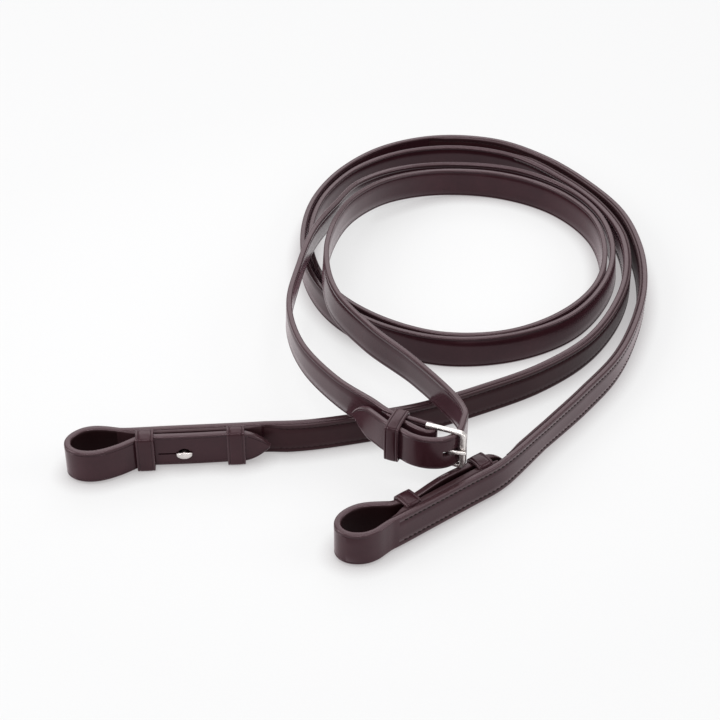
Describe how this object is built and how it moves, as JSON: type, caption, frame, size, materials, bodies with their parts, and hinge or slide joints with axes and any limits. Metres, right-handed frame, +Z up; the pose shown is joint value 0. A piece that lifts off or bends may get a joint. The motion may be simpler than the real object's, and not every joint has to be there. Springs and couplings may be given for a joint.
{
  "type": "leather reins",
  "caption": "Leather riding reins in a loose coil, each strap ending in a looped hook-stud bit end, the two joined by a centre buckle.",
  "frame": {"origin": "under the middle of the coiled reins, on the surface they rest on", "axes": "+Z up from the surface; +Y from the bit ends and centre buckle towards the closed end of the coil; +X towards the side the coil bulges to"},
  "size_m": [0.3463, 0.4208, 0.0487],
  "materials": {
    "bridle_leather": "satin",
    "lining_leather": "matte",
    "plated_metal": "polished"
  },
  "bodies": {
    "reins": {"rein_strap_left": "bridle_leather", "rein_strap_right": "bridle_leather", "grip_lining_left": "lining_leather", "grip_lining_right": "lining_leather", "stay_left": "lining_leather", "stay_right": "lining_leather", "bit_billet_left": "bridle_leather", "bit_billet_right": "bridle_leather", "front_keeper_left": "bridle_leather", "front_keeper_right": "bridle_leather", "rear_keeper_left": "bridle_leather", "rear_keeper_right": "bridle_leather", "hook_stud_left": "plated_metal", "hook_stud_right": "plated_metal", "stud_base_plate_left": "plated_metal", "stud_base_plate_right": "plated_metal", "buckle_chape": "bridle_leather", "buckle_keeper": "bridle_leather", "centre_billet": "bridle_leather"},
    "buckle_frame": {"buckle_frame": "plated_metal"},
    "buckle_tongue": {"buckle_tongue": "plated_metal"}
  },
  "joints": [
    {"name": "frame_swing", "type": "hinge", "parent": "reins", "child": "buckle_frame", "pos_m": [0.0274, -0.1505, 0.0357], "axis": [0, 0, -1], "range_deg": [-2, 2]},
    {"name": "tongue_swing", "type": "hinge", "parent": "buckle_frame", "child": "buckle_tongue", "pos_m": [0.0274, -0.1505, 0.0357], "axis": [0, 0, -1], "range_deg": [0, 1.5]}
  ]
}
